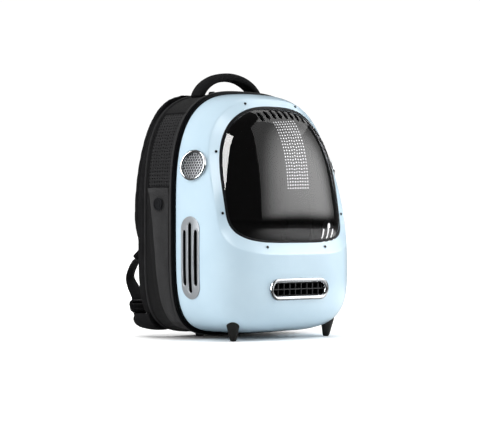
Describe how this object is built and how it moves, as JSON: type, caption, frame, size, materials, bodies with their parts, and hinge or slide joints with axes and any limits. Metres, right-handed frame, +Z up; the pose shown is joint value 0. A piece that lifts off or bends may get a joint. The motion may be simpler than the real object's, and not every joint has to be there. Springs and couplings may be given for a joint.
{
  "type": "pet carrier backpack",
  "caption": "Backpack for carrying a small pet: domed pale blue shell with a smoked window, vents, fabric sides with net panels, padded back, straps and top handle.",
  "frame": {"origin": "middle of the footprint, on the floor", "axes": "+Z up, -Y towards the window, +Y towards the wearer's back, +X to the right seen from the front"},
  "size_m": [0.3472, 0.3052, 0.4607],
  "materials": {
    "shell_plastic": "glossy moulded plastic, pale blue",
    "smoked_window": "glossy smoked clear plastic",
    "gasket_rubber": "satin black rubber",
    "screw_black": "black oxide",
    "bright_metal": "polished bright plating",
    "silver_metal": "fine satin silver",
    "grid_plastic": "matte black",
    "foot_rubber": "matte dark grey rubber",
    "trim_plastic": "satin black",
    "grey_fabric": "fine plain weave, dark grey",
    "net_fabric": "open net, black",
    "padded_fabric": "padded woven cloth, near black",
    "webbing_fabric": "ribbed webbing, black",
    "buckle_plastic": "satin black moulded plastic"
  },
  "bodies": {
    "root": {"front_shell": "shell_plastic", "window": "smoked_window", "window_gasket": "gasket_rubber", "window_screw_1": "screw_black", "window_screw_2": "screw_black", "window_screw_3": "screw_black", "window_screw_4": "screw_black", "window_screw_5": "screw_black", "window_screw_6": "screw_black", "window_screw_7": "screw_black", "window_screw_8": "screw_black", "vent_ring_left": "bright_metal", "vent_ring_right": "bright_metal", "front_vent_bezel": "bright_metal", "vent_grille_left": "silver_metal", "vent_grille_right": "silver_metal", "slot_plate_left": "silver_metal", "slot_plate_right": "silver_metal", "front_vent_grid": "grid_plastic", "foot_front_left": "foot_rubber", "foot_front_right": "foot_rubber", "foot_rear_left": "foot_rubber", "foot_rear_right": "foot_rubber", "rim_trim": "trim_plastic", "back_piping": "trim_plastic", "gusset": "grey_fabric", "side_pocket_left": "grey_fabric", "side_pocket_right": "grey_fabric", "strap_wing_left": "grey_fabric", "strap_wing_right": "grey_fabric", "side_mesh_left": "net_fabric", "side_mesh_right": "net_fabric", "back_panel": "padded_fabric", "shoulder_strap_left": "padded_fabric", "shoulder_strap_right": "padded_fabric", "top_handle": "padded_fabric", "strap_webbing_left": "webbing_fabric", "strap_webbing_right": "webbing_fabric", "strap_adjuster_left": "buckle_plastic", "strap_adjuster_right": "buckle_plastic", "strap_buckle_left": "buckle_plastic", "strap_buckle_right": "buckle_plastic", "pocket_snap_left": "buckle_plastic", "pocket_snap_right": "buckle_plastic", "zip_slider": "buckle_plastic"}
  },
  "joints": []
}
